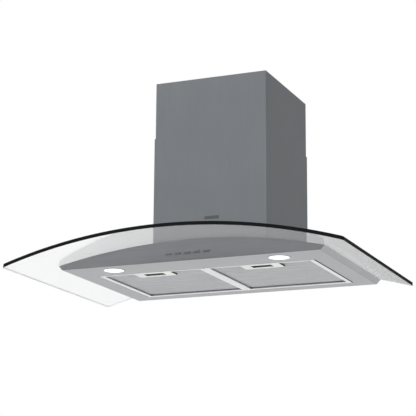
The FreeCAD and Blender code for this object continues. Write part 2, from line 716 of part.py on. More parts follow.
def button(index):
    """Push button: slim rounded cap with a softened front edge and a narrower stem."""
    x = button_x(index)
    y0 = BODY_FRONT_Y - BUTTON_PROUD
    y1 = BANK_Y0 + CAP_DEPTH
    cap = pill(x, Z_BUTTON, BUTTON_W, BUTTON_H, y0, y1)
    front = [e for e in cap.Edges if all(abs(v.Y - y0) < 0.01 for v in e.Vertexes)]
    cap = cap.makeFillet(BUTTON_EDGE, front)
    stem = box(x - STEM_HALF, x + STEM_HALF, y1, y1 + STEM_LENGTH, Z_BUTTON - 1.5, Z_BUTTON + 1.5)
    return fuse([cap, stem])


def control_board():
    """Printed board in the back of the switch bank with one tact switch behind each button."""
    board = box(BANK_WALL - BANK_HALF, BANK_HALF - BANK_WALL, BOARD_Y, BOARD_Y + BOARD_THICK,
                BANK_Z0 + BANK_WALL, BANK_Z1 - BANK_WALL)
    switches = [box(button_x(i) - SWITCH_HALF, button_x(i) + SWITCH_HALF,
                    BOARD_Y - SWITCH_DEPTH, BOARD_Y,
                    Z_BUTTON - SWITCH_HALF, Z_BUTTON + SWITCH_HALF) for i in range(BUTTON_COUNT)]
    return fuse([board] + switches)


CONTROL_X0 = 92.0
CONTROL_X1 = 186.0
CONTROL_Y0 = -288.0
CONTROL_Y1 = -204.0
CONTROL_Z0 = Z_BOTTOM + SHEET
CONTROL_Z1 = Z_BOTTOM + 34.0
CONTROL_WALL = 2.0
CONTROL_FLOOR = CONTROL_Z0 + CONTROL_WALL
LID_THICK = 1.5
VENT_COUNT = 7
VENT_PITCH = 9.0
VENT_WIDTH = 3.0
VENT_MARGIN = 20.0
POWER_X = CONTROL_X0 + 4.0   # left front corner of the mains board
POWER_Y = CONTROL_Y0 + 4.0
POWER_WIDTH = 56.0
TERMINAL_X = CONTROL_X1 - 28.0
TERMINAL_Y = CONTROL_Y0 + 8.0
CAPACITOR_R = 11.0
CAPACITOR_LENGTH = 34.0
DRIVER_X0 = -176.0
DRIVER_X1 = -108.0
DRIVER_Y = -252.0
DRIVER_HALF = 20.0
DRIVER_HEIGHT = 22.0
EAR = 10.0                   # length of each mounting ear, which is also half its width


def control_box():
    """Open plastic tray on the bottom panel for the mains electronics."""
    outer = box(CONTROL_X0, CONTROL_X1, CONTROL_Y0, CONTROL_Y1, CONTROL_Z0, CONTROL_Z1)
    inner = box(CONTROL_X0 + CONTROL_WALL, CONTROL_X1 - CONTROL_WALL,
                CONTROL_Y0 + CONTROL_WALL, CONTROL_Y1 - CONTROL_WALL, CONTROL_FLOOR, CONTROL_Z1)
    return outer.cut(inner)


def control_box_lid():
    """Lid with a row of vent slots."""
    top = CONTROL_Z1 + LID_THICK
    plate = box(CONTROL_X0, CONTROL_X1, CONTROL_Y0, CONTROL_Y1, CONTROL_Z1, top)
    vents = []
    for k in range(VENT_COUNT):
        x = CONTROL_X0 + VENT_MARGIN + VENT_PITCH * k
        vents.append(box(x, x + VENT_WIDTH, CONTROL_Y0 + VENT_MARGIN, CONTROL_Y1 - VENT_MARGIN,
                         CONTROL_Z1, top))
    return cut(plate, vents)


def power_board():
    """Mains board with a transformer block, two relays and a fuse."""
    top = CONTROL_FLOOR + BOARD_THICK
    board = box(POWER_X, POWER_X + POWER_WIDTH, POWER_Y, CONTROL_Y1 - 4, CONTROL_FLOOR, top)

    def block(x, y, width, depth, height):
        return box(POWER_X + x, POWER_X + x + width, POWER_Y + y, POWER_Y + y + depth, top, top + height)

    transformer = block(5, 6, 26, 24, 20)
    relays = [block(36, y, 15, 12, 15) for y in (6, 24)]
    fuse_holder = block(8, 44, 20, 6, 6)
    return fuse([board, transformer, fuse_holder] + relays)


def terminal_block():
    """Three-way screw terminal."""
    width = 22.0
    height = 14.0
    pitch = 10.5
    well_r = 2.6
    z0 = CONTROL_FLOOR
    block = box(TERMINAL_X, TERMINAL_X + width, TERMINAL_Y, TERMINAL_Y + 3 * pitch, z0, z0 + height)
    wells = [cyl(well_r, V(TERMINAL_X + width / 2, TERMINAL_Y + pitch * (k + 0.5), z0 + height / 2),
                 V(0, 0, 1), height / 2) for k in range(3)]
    return cut(block, wells)


def capacitor():
    """Motor run capacitor: small can lying along Y."""
    start = V(CONTROL_X1 - CAPACITOR_R - 6, CONTROL_Y1 - CAPACITOR_LENGTH - 6, CONTROL_FLOOR + CAPACITOR_R)
    return cyl(CAPACITOR_R, start, V(0, 1, 0), CAPACITOR_LENGTH)


def led_driver():
    """Sealed driver for the two lamps, with a mounting ear at each end."""
    z0 = CONTROL_Z0
    body = rounded_rect(DRIVER_X0, DRIVER_X1, DRIVER_Y - DRIVER_HALF, DRIVER_Y + DRIVER_HALF,
                        z0, z0 + DRIVER_HEIGHT, 3)
    ears = box(DRIVER_X0 - EAR, DRIVER_X1 + EAR, DRIVER_Y - EAR, DRIVER_Y + EAR, z0, z0 + 2)
    holes = [cyl(2.2, V(x, DRIVER_Y, z0), V(0, 0, 1), 2)
             for x in (DRIVER_X0 - EAR / 2, DRIVER_X1 + EAR / 2)]
    return cut(fuse([body, ears]), holes)


# ---------------------------------------------------------------- lamps
LENS_PROUD = 0.6
LENS_THICK = 3.0
LENS_EDGE = 0.5
BEZEL_PROUD = 0.8
BEZEL_FLANGE = 1.2
BEZEL_WALL = 1.3
LAMP_FIT = 0.1               # gap between the lamp and its hole
LAMP_DEPTH = 6.0             # from the panel's underside to the heat sink
LENS_R = LAMP_R - LAMP_FIT - BEZEL_WALL
HEAT_SINK_HEIGHT = 20.0
FIN_PITCH = 5.0
FIN_GAP = 2.0
FIN_DEPTH = 6.0


def lamp_lens(side):
    z0 = Z_BOTTOM - LENS_PROUD
    lens = cyl(LENS_R, V(side * LAMP_X, LAMP_Y, z0), V(0, 0, 1), LENS_THICK)
    rim = [e for e in lens.Edges if e.Closed and abs(e.Vertexes[0].Z - z0) < 0.01]
    return lens.makeFillet(LENS_EDGE, rim)


def lamp_bezel(side):
    """Thin flanged ring that clips the lens into the panel."""
    base = V(side * LAMP_X, LAMP_Y, Z_BOTTOM - BEZEL_PROUD)
    flange = tube(LAMP_R + BEZEL_FLANGE, LENS_R, base, V(0, 0, 1), BEZEL_PROUD)
    barrel = tube(LAMP_R - LAMP_FIT, LENS_R, base, V(0, 0, 1), BEZEL_PROUD + LAMP_DEPTH)
    return fuse([flange, barrel])


def lamp_body(side):
    """Finned aluminium heat sink behind the lens."""
    x = side * LAMP_X
    z0 = Z_BOTTOM + LAMP_DEPTH
    can = cyl(LAMP_R - LAMP_FIT, V(x, LAMP_Y, z0), V(0, 0, 1), HEAT_SINK_HEIGHT)
    grooves = [tube(LAMP_R, LAMP_R - FIN_DEPTH, V(x, LAMP_Y, z0 + 3 + FIN_PITCH * k), V(0, 0, 1), FIN_GAP)
               for k in range(3)]
    return cut(can, grooves)


# ---------------------------------------------------------------- badge
BADGE_X0 = -13.0
BADGE_X1 = 27.0
BADGE_Z0 = Z_BOTTOM + 137.0
BADGE_HEIGHT = 8.0
BADGE_THICK = 0.8
BADGE_CORNER = 1.5


def badge_plate():
    """Small blank plate on the front of the lower chimney."""
    plate = box(BADGE_X0, BADGE_X1, -HALF_LOWER - BADGE_THICK, -HALF_LOWER,
                BADGE_Z0, BADGE_Z0 + BADGE_HEIGHT)
    edges = [e for e in plate.Edges
             if abs(e.Vertexes[0].Y - e.Vertexes[1].Y) > BADGE_THICK / 2]
    return plate.makeFillet(BADGE_CORNER, edges)


# ---------------------------------------------------------------- filters
TRAY_HALF = 52.0
TRAY_FRONT_Y = FILTER_FRONT_Y + FILTER_FRONT_BORDER
TRAY_REAR_Y = TRAY_FRONT_Y + 48.0
TRAY_THICK = 1.2
POCKET_HALF = 27.4
POCKET_FRONT_Y = TRAY_FRONT_Y + 11.0
POCKET_REAR_Y = TRAY_FRONT_Y + 35.0
LATCH_TRAVEL = 6.0
FINGER_WALL_Y = POCKET_REAR_Y - LATCH_TRAVEL - 1.8
SLIDER_THICK = 1.6
NOSE_GAP = 0.4               # above and below the latch's nose where it passes the frame
NOSE_SHORT = 0.3             # gap between the nose and the opening's front flange
FINGER_WALL_RISE = 2.0       # of the finger wall's lower edge, above the filter's face
TRAY_FIT = 0.2               # gap between the tray and the mesh round it
TRAY_WALL = 1.2
TRAY_CORNER = 2.0
TRAY_Z0 = Z_FILTER + 0.4
SLOT_CORNER = 1.5
PACK_Z0 = Z_FILTER + MESH_RECESS
PACK_Z1 = Z_FILTER + FILTER_HEIGHT - FILTER_SHEET
MESH_SHEET = 1.0
MESH_ROWS = 22
MESH_COLUMNS = 6
MESH_BAR_X = 4.0             # solid bars between the rows and the columns of openings
MESH_BAR_Y = 6.0
CORE_FOLD = 8.0              # pitch of the folded inner layer
CORE_SHEET = 0.6


def filter_frame(side):
    """Aluminium channel frame: border, inner return, outer wall, top lip and two hinge tabs."""
    x0 = FILTER_GAP
    x1 = FILTER_OUTER_X
    y0 = FILTER_FRONT_Y
    y1 = FILTER_REAR_Y
    z0 = Z_FILTER
    z1 = z0 + FILTER_HEIGHT
    in_x0 = x0 + FILTER_BORDER
    in_x1 = x1 - FILTER_BORDER
    in_y0 = y0 + FILTER_FRONT_BORDER
    in_y1 = y1 - FILTER_BORDER
    block = rounded_rect(x0, x1, y0, y1, z0, z1, FILTER_CORNER)
    window = box(in_x0, in_x1, in_y0, in_y1, z0 - 1, z1 + 1)
    t = FILTER_SHEET
    pack_space = box(x0 + t, x1 - t, y0 + t, y1 - t, PACK_Z0, PACK_Z1)
    under = box(x0 + t, x1 - t, y0 + t, y1 - t, z0 + t, PACK_Z0)
    under = under.cut(box(in_x0 - t, in_x1 + t, in_y0 - t, in_y1 + t, z0, PACK_Z0))
    frame = cut(block, [window, pack_space, under])
    tabs = []
    for dx in (-TAB_X, TAB_X):
        mid = FILTER_MID_X + dx
        tabs.append(box(mid - TAB_HALF, mid + TAB_HALF, y1 - 1, OPENING_REAR_Y + TAB_REACH,
                        TAB_Z0, TAB_Z0 + TAB_THICK))
    frame = fuse([frame] + tabs)
    nose_half = LATCH_NOSE_HALF + 0.6
    nose = box(FILTER_MID_X - nose_half, FILTER_MID_X + nose_half, y0, in_y0,
               NOSE_Z0 - NOSE_GAP, NOSE_Z1 + NOSE_GAP)
    frame = frame.cut(nose)
    return frame if side > 0 else mirror_x(frame)


def tray_cutout(z0, z1):
    """Space in the mesh pack that the latch tray and slider take up."""
    half = TRAY_HALF + TRAY_FIT
    return box(FILTER_MID_X - half, FILTER_MID_X + half, FILTER_FRONT_Y, TRAY_REAR_Y + TRAY_FIT, z0, z1)


def slotted_sheet(z0):
    """Outer mesh layer: sheet with rows of long narrow openings."""
    t = FILTER_SHEET
    z1 = z0 + MESH_SHEET
    layer = box(FILTER_GAP + t, FILTER_OUTER_X - t, FILTER_FRONT_Y + t, FILTER_REAR_Y - t, z0, z1)
    pitch_y = (FILTER_REAR_Y - FILTER_FRONT_Y - 2 * FILTER_BORDER) / MESH_ROWS
    pitch_x = (FILTER_OUTER_X - FILTER_GAP - 2 * FILTER_BORDER - MESH_BAR_X) / MESH_COLUMNS
    holes = []
    for i in range(MESH_COLUMNS):
        x = FILTER_GAP + FILTER_BORDER + MESH_BAR_X + i * pitch_x
        beside_tray = abs(x + pitch_x / 2 - FILTER_MID_X) < TRAY_HALF + pitch_x / 2
        for j in range(MESH_ROWS):
            y = FILTER_FRONT_Y + FILTER_BORDER + 2 + j * pitch_y
            if not (beside_tray and y < TRAY_REAR_Y + MESH_BAR_X):
                holes.append(box(x, x + pitch_x - MESH_BAR_X, y, y + pitch_y - MESH_BAR_Y, z0, z1))
    return cut(layer, [tray_cutout(z0, z1), group(holes)])


def filter_mesh(side):
    mesh = group([slotted_sheet(PACK_Z0), slotted_sheet(PACK_Z1 - MESH_SHEET)])
    return mesh if side > 0 else mirror_x(mesh)


def filter_core(side):
    """Folded aluminium layer between the two mesh sheets, behind the latch tray."""
    low = PACK_Z0 + MESH_SHEET
    high = PACK_Z1 - MESH_SHEET - CORE_SHEET
    y = TRAY_REAR_Y + 1.0
    lower_edge = []
    level = low
    while y < FILTER_REAR_Y - 2:
        lower_edge.append(V(FILTER_GAP + 1.5, y, level))
        level = high if level == low else low
        y += CORE_FOLD / 2
    upper_edge = [V(p.x, p.y, p.z + CORE_SHEET) for p in reversed(lower_edge)]
    width = FILTER_OUTER_X - FILTER_GAP - 3.0
    core = prism(lower_edge + upper_edge, V(width, 0, 0))
    return core if side > 0 else mirror_x(core)


def latch_tray(side):
    """Moulded tray at the filter's front edge: face plate with a finger slot, skirt and guides."""
    mid = FILTER_MID_X
    inner = TRAY_HALF - TRAY_WALL
    inner_rear = TRAY_REAR_Y - TRAY_WALL
    plate = rounded_rect(mid - TRAY_HALF, mid + TRAY_HALF, TRAY_FRONT_Y, TRAY_REAR_Y,
                         TRAY_Z0, TRAY_Z0 + TRAY_THICK, TRAY_CORNER)
    skirt = box(mid - TRAY_HALF, mid + TRAY_HALF, TRAY_FRONT_Y + TRAY_CORNER, TRAY_REAR_Y,
                TRAY_Z0, PACK_Z1)
    skirt = skirt.cut(box(mid - inner, mid + inner, TRAY_FRONT_Y, inner_rear, TRAY_Z0, PACK_Z1))
    guides = []
    for s in (-1, 1):
        x = mid + s * (LATCH_NOSE_HALF + 0.5 + TRAY_WALL / 2)
        guides.append(box(x - TRAY_WALL / 2, x + TRAY_WALL / 2, POCKET_FRONT_Y - LATCH_TRAVEL, inner_rear,
                          TRAY_Z0, NOSE_Z1))
    tray = fuse([plate, skirt] + guides)
    slot = rounded_rect(mid - POCKET_HALF, mid + POCKET_HALF, POCKET_FRONT_Y, POCKET_REAR_Y,
                        TRAY_Z0, TRAY_Z0 + TRAY_THICK, SLOT_CORNER)
    tray = tray.cut(slot)
    return tray if side > 0 else mirror_x(tray)


def latch_slider(side):
    """Sliding bolt: wide nose through the frame, and a finger wall inside the tray's slot."""
    mid = FILTER_MID_X
    plate = box(mid - LATCH_NOSE_HALF, mid + LATCH_NOSE_HALF, OPENING_FRONT_Y + NOSE_SHORT,
                FINGER_WALL_Y + SLIDER_THICK, NOSE_Z0, NOSE_Z1)
    wall = box(mid - LATCH_NOSE_HALF, mid + LATCH_NOSE_HALF, FINGER_WALL_Y,
               FINGER_WALL_Y + SLIDER_THICK, Z_FILTER + FINGER_WALL_RISE, NOSE_Z1)
    slider = fuse([plate, wall])
    return slider if side > 0 else mirror_x(slider)


SPRING_R = 1.6
SPRING_WIRE = 0.3
SPRING_TURNS = 5


def latch_spring(side):
    """Compression spring between the slider's finger wall and the tray's rear skirt."""
    y0 = FINGER_WALL_Y + SLIDER_THICK + SPRING_WIRE
    y1 = TRAY_REAR_Y - TRAY_WALL - SPRING_WIRE
    length = y1 - y0
    helix = Part.makeHelix(length / SPRING_TURNS, length, SPRING_R)
    profile = Part.Wire([Part.makeCircle(SPRING_WIRE, V(SPRING_R, 0, 0), V(0, 1, 0))])
    coil = Part.Wire(helix).makePipeShell([profile], True, True)
    coil.rotate(V(0, 0, 0), V(1, 0, 0), -90)
    coil.translate(V(FILTER_MID_X, y0, (NOSE_Z0 + NOSE_Z1) / 2))
    return coil if side > 0 else mirror_x(coil)


# ---------------------------------------------------------------- write every node
SIDES = (("left", -1), ("right", 1))

save(ceiling_plate(), "ceiling_plate")
save(upper_rails(), "upper_rails")
save(upper_chimney(), "upper_chimney")
save(upper_chimney_back(), "upper_chimney_back")
save(lower_chimney(), "lower_chimney")
save(lower_chimney_back(), "lower_chimney_back")
save(back_screws(), "back_screws")
save(lower_rails(), "lower_rails")
save(height_bolts(), "height_bolts")
save(chimney_clips(), "chimney_clips")
save(body_shell(), "body_shell")
save(top_cover(), "top_cover")
save(bottom_panel(), "bottom_panel")
save(centre_rib(), "centre_rib")
save(glass_canopy(), "glass_canopy")
save(glass_gasket(), "glass_gasket")
save(blower_box(), "blower_box")
save(blower_lid(), "blower_lid")
save(blower_wheel(), "blower_wheel")
save(blower_shaft(), "blower_shaft")
save(motor(), "motor")
save(motor_bracket(), "motor_bracket")
save(outlet_collar(), "outlet_collar")
save(flap_rod(), "flap_rod")
save(damper_flap(-1), "damper_flap_front")
save(damper_flap(1), "damper_flap_rear")
save(switch_bank(), "switch_bank")
save(control_board(), "control_board")
save(control_box(), "control_box")
save(control_box_lid(), "control_box_lid")
save(power_board(), "power_board")
save(terminal_block(), "terminal_block")
save(capacitor(), "capacitor")
save(led_driver(), "led_driver")
save(badge_plate(), "badge_plate")
for number in range(BUTTON_COUNT):
    save(button(number), "button_" + str(number + 1))
for word, sign in SIDES:
    save(blower_half(sign), "blower_housing_" + word)
    save(lamp_lens(sign), "lamp_lens_" + word)
    save(lamp_bezel(sign), "lamp_bezel_" + word)
    save(lamp_body(sign), "lamp_body_" + word)
    save(filter_frame(sign), "filter_frame_" + word)
    save(filter_mesh(sign), "filter_mesh_" + word)
    save(filter_core(sign), "filter_core_" + word)
    save(latch_tray(sign), "latch_tray_" + word)
    save(latch_slider(sign), "latch_slider_" + word)
    save(latch_spring(sign), "latch_spring_" + word)
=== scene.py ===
"""Looks of an island range hood around its CAD frame: metals, glass, fine filter mesh, studio."""

import math

import bmesh
import bpy
from mathutils import Matrix, Vector


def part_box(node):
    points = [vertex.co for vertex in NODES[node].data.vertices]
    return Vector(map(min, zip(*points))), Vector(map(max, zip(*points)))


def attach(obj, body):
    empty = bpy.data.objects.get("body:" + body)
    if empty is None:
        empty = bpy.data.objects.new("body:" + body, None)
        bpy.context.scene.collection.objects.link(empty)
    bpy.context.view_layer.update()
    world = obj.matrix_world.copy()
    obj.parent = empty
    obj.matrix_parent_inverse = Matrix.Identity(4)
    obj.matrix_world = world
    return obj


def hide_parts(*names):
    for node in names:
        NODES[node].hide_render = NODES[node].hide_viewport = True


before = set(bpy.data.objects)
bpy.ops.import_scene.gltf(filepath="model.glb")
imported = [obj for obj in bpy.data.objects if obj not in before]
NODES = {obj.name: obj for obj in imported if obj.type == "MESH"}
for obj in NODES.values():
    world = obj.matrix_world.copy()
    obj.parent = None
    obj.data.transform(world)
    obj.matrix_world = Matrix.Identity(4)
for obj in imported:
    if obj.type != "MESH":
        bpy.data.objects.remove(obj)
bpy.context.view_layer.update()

# ---------------------------------------------------------------- places, in metres
CAMERA_PLACE = (1.5174, -3.7625, -1.3195)
CAMERA_YAW = math.radians(22.88)        # turned left from looking along +Y
CAMERA_PITCH = math.radians(13.83)      # looking up
CAMERA_ROLL = math.radians(0.40)
CAMERA_LENS = 134.39                    # millimetres
CAMERA_SENSOR = 36.0                    # millimetres
CAMERA_FAR = 100.0
FLOOR_Z = -6.0                          # low enough for views from below
FLOOR_HALF = 36.0

SIDES = ("left", "right")


# ---------------------------------------------------------------- material helpers
NOISE_LOW, NOISE_HIGH = 0.3, 0.7        # nearly all of a noise value lies between these
# painted shade: the colour is darkened in creases, narrow gaps and on recessed walls, by how little of the
# surroundings is open
CREASE_REACH = 0.008                    # how far a crease looks for what shades it
CREASE_SAMPLES = 16
CREASE_SHUT, CREASE_OPEN = 0.55, 0.85   # openness at which a crease is darkest, and gone
GAP_PAINTED_SHADE = (0.08, 0.08, 0.085)
SWITCH_LOW, SWITCH_HIGH = 0.4, 0.6      # a ramp that goes from one thing to another about 0.5
BLACK = (0.0, 0.0, 0.0)
WHITE = (1.0, 1.0, 1.0)


class Material:
    """A node material with one Principled shader and short ways to feed it."""

    def __init__(self, name, colour, metallic=0.0, roughness=0.5):
        self.data = bpy.data.materials.new(name)
        self.data.use_nodes = True
        self.tree = self.data.node_tree
        self.shader = self.tree.nodes["Principled BSDF"]
        self.set("Base Color", (*colour, 1.0))
        self.set("Metallic", metallic)
        self.set("Roughness", roughness)
        places = self.add("ShaderNodeTexCoord")
        self.coords = places.outputs["Object"]
        self.boxed = places.outputs["Generated"]
        self.normal = places.outputs["Normal"]

    def add(self, kind, **inputs):
        node = self.tree.nodes.new(kind)
        for name, value in inputs.items():
            node.inputs[name.replace("_", " ")].default_value = value
        return node

    def link(self, source, target):
        self.tree.links.new(source, target)

    def set(self, socket, value):
        self.shader.inputs[socket].default_value = value

    def stretched(self, scale):
        """Object coordinates stretched per axis: a large number makes a fine pattern along that axis."""
        mapping = self.add("ShaderNodeMapping", Scale=scale)
        self.link(self.coords, mapping.inputs["Vector"])
        return mapping.outputs["Vector"]

    def noise(self, scale, detail=2.0, roughness=0.5):
        """Noise with its own scale along each axis, about 0.5."""
        node = self.add("ShaderNodeTexNoise", Scale=1.0, Detail=detail, Roughness=roughness)
        self.link(self.stretched(scale), node.inputs["Vector"])
        return node.outputs["Fac"]

    def ramp(self, value, stops):
        """Colours or greys placed along a value, as (position, colour)."""
        node = self.add("ShaderNodeValToRGB")
        self.link(value, node.inputs["Fac"])
        elements = node.color_ramp.elements
        while len(elements) < len(stops):
            elements.new(0.5)
        for element, (position, colour) in zip(elements, stops):
            element.position = position
            element.color = (*colour, 1.0)
        return node.outputs["Color"]

    def span(self, value, low, high):
        """A noise value spread between two numbers."""
        node = self.add("ShaderNodeMapRange", From_Min=NOISE_LOW, From_Max=NOISE_HIGH,
                        To_Min=low, To_Max=high)
        self.link(value, node.inputs["Value"])
        return node.outputs["Result"]

    def multiply(self, colour_a, colour_b):
        node = self.add("ShaderNodeMixRGB", Fac=1.0)
        node.blend_type = "MULTIPLY"
        self.link(colour_a, node.inputs["Color1"])
        self.link(colour_b, node.inputs["Color2"])
        return node.outputs["Color"]

    def bump(self, height, strength, distance):
        node = self.add("ShaderNodeBump", Strength=strength, Distance=distance)
        self.link(height, node.inputs["Height"])
        self.link(node.outputs["Normal"], self.shader.inputs["Normal"])

    def mix(self, share, first, second):
        """Two colours, each an output or a plain colour, mixed by an output."""
        node = self.add("ShaderNodeMixRGB")
        self.link(share, node.inputs["Fac"])
        for slot, colour in ((node.inputs["Color1"], first), (node.inputs["Color2"], second)):
            if isinstance(colour, tuple):
                slot.default_value = (*colour, 1.0)
            else:
                self.link(colour, slot)
        return node.outputs["Color"]

    def feed(self, socket, output):
        self.link(output, self.shader.inputs[socket])

    def painted_gap_shade(self, colour):
        """Painted shade: the colour darkened in narrow gaps and on recessed walls, where little light gets
        in.
        """
        node = self.add("ShaderNodeAmbientOcclusion", Distance=CREASE_REACH)
        node.samples = CREASE_SAMPLES
        gap = self.ramp(node.outputs["AO"], [(CREASE_SHUT, GAP_PAINTED_SHADE), (CREASE_OPEN, WHITE)])
        return self.multiply(colour, gap)

    def switch(self, value, first, second):
        """One colour where a value is below 0.5, another where it is above."""
        return self.ramp(value, [(SWITCH_LOW, first), (SWITCH_HIGH, second)])

    def painted_side_lighting(self, colour, side_lighting_colour):
        """Painted light and shade: another colour on the faces that look left or right, standing in for
        how light falls on them.
        """
        parts = self.add("ShaderNodeSeparateXYZ")
        self.link(self.normal, parts.inputs["Vector"])
        size = self.add("ShaderNodeMath")
        size.operation = "ABSOLUTE"
        self.link(parts.outputs["X"], size.inputs[0])
        return self.mix(self.switch(size.outputs["Value"], BLACK, WHITE), colour, side_lighting_colour)


def shade(colour, factor):
    return tuple(min(1.0, c * factor) for c in colour)


def tones(colour, spread):
    """Ramp stops from a darker to a lighter tone of one colour."""
    return [(NOISE_LOW, shade(colour, 1 - spread)), (NOISE_HIGH, shade(colour, 1 + spread))]


FINE = 2600.0        # brushing lines per metre across the grain
LONG = 9.0           # and along it
GRAIN_UP = (FINE, FINE, LONG)
GRAIN_ACROSS = (LONG, FINE, FINE)
GRAIN_DEEP = (FINE, LONG, FINE)
BRUSH_DEPTH = 0.00004
CLOUDS = (6.0, 6.0, 6.0)
CLOUD_TONE = (0.95, 0.95, 0.95)


def brushed(name, colour, grain, roughness=0.34, spread=0.10, gap_shade_painted=False, painted_side_lighting=None):
    """Brushed sheet: fine lines along the grain and broad soft clouds."""
    m = Material(name, colour, metallic=1.0, roughness=roughness)
    lines = m.noise(grain, detail=3.0, roughness=0.65)
    clouds = m.noise(CLOUDS, detail=3.0)
    colour_lines = m.ramp(lines, tones(colour, spread))
    if painted_side_lighting:
        colour_lines = m.painted_side_lighting(colour_lines, m.ramp(lines, tones(painted_side_lighting, spread)))
    colour_clouds = m.ramp(clouds, [(NOISE_LOW, CLOUD_TONE), (NOISE_HIGH, WHITE)])
    sheet = m.multiply(colour_lines, colour_clouds)
    m.feed("Base Color", m.painted_gap_shade(sheet) if gap_shade_painted else sheet)
    m.feed("Roughness", m.span(lines, roughness - 0.06, roughness + 0.08))
    m.bump(lines, 0.18, BRUSH_DEPTH)
    return m.data


MOTTLE = (220.0, 220.0, 220.0)          # how closely the gloss of plating changes


def plated(name, colour, roughness=0.3, spangle=90.0):
    """Zinc or nickel plating with a faint crystalline mottle."""
    m = Material(name, colour, metallic=1.0, roughness=roughness)
    cells = m.add("ShaderNodeTexVoronoi", Scale=spangle)
    m.link(m.coords, cells.inputs["Vector"])
    mottle = m.ramp(cells.outputs["Color"], [(0.0, shade(colour, 0.86)), (1.0, shade(colour, 1.08))])
    m.feed("Base Color", mottle)
    m.feed("Roughness", m.span(m.noise(MOTTLE), roughness - 0.08, roughness + 0.1))
    return m.data


def moulded(name, colour, roughness=0.45, grain=900.0, depth=0.00005, gap_shade_painted=False, painted_side_lighting=None):
    """Moulded plastic: fine spark-eroded grain and slightly uneven gloss."""
    m = Material(name, colour, roughness=roughness)
    fine = m.noise((grain, grain, grain), detail=2.0)
    broad = m.noise((14.0, 14.0, 14.0), detail=2.0)
    skin = m.ramp(broad, tones(colour, 0.05))
    if painted_side_lighting:
        skin = m.painted_side_lighting(skin, painted_side_lighting)
    m.feed("Base Color", m.painted_gap_shade(skin) if gap_shade_painted else skin)
    m.feed("Roughness", m.span(broad, roughness - 0.05, roughness + 0.05))
    m.bump(fine, 0.3, depth)
    return m.data


GLASS_TINT = (0.995, 0.998, 0.997)
GLASS_CLEAR = 0.74           # share let through where light enters the sheet; the rest is white haze
GLASS_IOR = 1.45


def clear_glass():
    """Tempered glass with haze on its outer faces and none where light leaves the sheet."""
    m = Material("clear_glass", GLASS_TINT, roughness=0.0)
    m.set("IOR", GLASS_IOR)
    inside = m.add("ShaderNodeNewGeometry").outputs["Backfacing"]
    m.feed("Transmission Weight", m.switch(inside, (GLASS_CLEAR,) * 3, WHITE))
    return m.data


# painted shade on the glass edge seen from outside, and painted light on it seen through the sheet
EDGE_PAINTED_DARK = (0.004, 0.0045, 0.005)
EDGE_PAINTED_PALE = (0.85, 0.86, 0.86)
GRIND = (900.0, 900.0, 900.0)


def glass_edge_painted_light():
    """Ground edge of the glass with painted light and shade: near black from outside, painted shade, and
    pale where it is seen through the sheet, painted light; only the grinding marks are its own.
    """
    m = Material("glass_edge_painted_light", EDGE_PAINTED_DARK, roughness=0.55)
    m.set("Specular IOR Level", 0.15)
    grind = m.noise(GRIND, detail=3.0)
    outer = m.ramp(grind, tones(EDGE_PAINTED_DARK, 0.4))
    inside = m.add("ShaderNodeNewGeometry").outputs["Backfacing"]
    m.feed("Base Color", m.mix(inside, outer, EDGE_PAINTED_PALE))
    m.feed("Roughness", m.span(grind, 0.5, 0.65))
    return m.data


LENS_WHITE = (0.93, 0.93, 0.91)
LENS_GLOW = 0.62
# from the rim to the middle
LENS_GLOW_COLOURS = [(0.0, (0.6, 0.6, 0.6)), (0.1, (0.9, 0.9, 0.89)), (0.3, (1.0, 1.0, 0.985))]


def lit_lens():
    """Frosted lens, lit from behind, a little dimmer at its rim."""
    m = Material("lit_lens", LENS_WHITE, roughness=0.5)
    ripple = m.noise((160.0, 160.0, 160.0))
    m.feed("Base Color", m.ramp(ripple, tones(LENS_WHITE, 0.03)))
    from_rim = m.add("ShaderNodeTexGradient")
    from_rim.gradient_type = "SPHERICAL"
    centred = m.add("ShaderNodeMapping", Location=(-1.0, -1.0, 0.0), Scale=(2.0, 2.0, 0.0))
    m.link(m.boxed, centred.inputs["Vector"])
    m.link(centred.outputs["Vector"], from_rim.inputs["Vector"])
    m.feed("Emission Color", m.ramp(from_rim.outputs["Fac"], LENS_GLOW_COLOURS))
    m.set("Emission Strength", LENS_GLOW)
    m.bump(ripple, 0.2, 0.0001)
    return m.data


def circuit_board():
    """Green solder mask with darker tracks."""
    m = Material("circuit_board", (0.02, 0.17, 0.06), roughness=0.35)
    tracks = m.add("ShaderNodeTexBrick", Scale=160.0, Color1=(0.02, 0.17, 0.06, 1.0),
                   Color2=(0.015, 0.13, 0.05, 1.0), Mortar=(0.01, 0.09, 0.035, 1.0))
    m.link(m.coords, tracks.inputs["Vector"])
    m.feed("Base Color", tracks.outputs["Color"])
    return m.data


SEAL_GREY = (0.30, 0.305, 0.31)


def soft_seal():
    """Translucent silicone with a faint bloom."""
    m = Material("soft_seal", SEAL_GREY, roughness=0.55)
    bloom = m.noise((60.0, 60.0, 60.0))
    m.feed("Base Color", m.ramp(bloom, tones(SEAL_GREY, 0.05)))
    m.feed("Roughness", m.span(bloom, 0.48, 0.62))
    return m.data


FLOOR_WHITE = (0.86, 0.86, 0.86)


def floor_paint():
    m = Material("floor_paint", FLOOR_WHITE, roughness=0.7)
    m.feed("Base Color", m.ramp(m.noise((1.5, 1.5, 1.5), detail=4.0), tones(FLOOR_WHITE, 0.01)))
    return m.data


# ---------------------------------------------------------------- which material each node has
STEEL = (0.344, 0.361, 0.380)
FASCIA = (0.285, 0.293, 0.307)
# painted light: the shell's faces that look left or right are the same steel, given a lighter colour
SIDE_STEEL_PAINTED_LIGHTER = (0.42, 0.42, 0.43)
# painted light: the bottom panel is the same steel, given a lighter colour for the light it gets from
# below
PANEL_STEEL_PAINTED_LIGHTER = (0.469, 0.471, 0.485)
ALUMINIUM = (0.90, 0.90, 0.905)
WEAVE = (0.70, 0.705, 0.715)


def dress(material, *names):
    """Gives CAD nodes a material."""
    for name in names:
        slots = NODES[name].data.materials
        slots.clear()
        slots.append(material)


def pair(*names):
    return [name + "_" + side for name in names for side in SIDES]


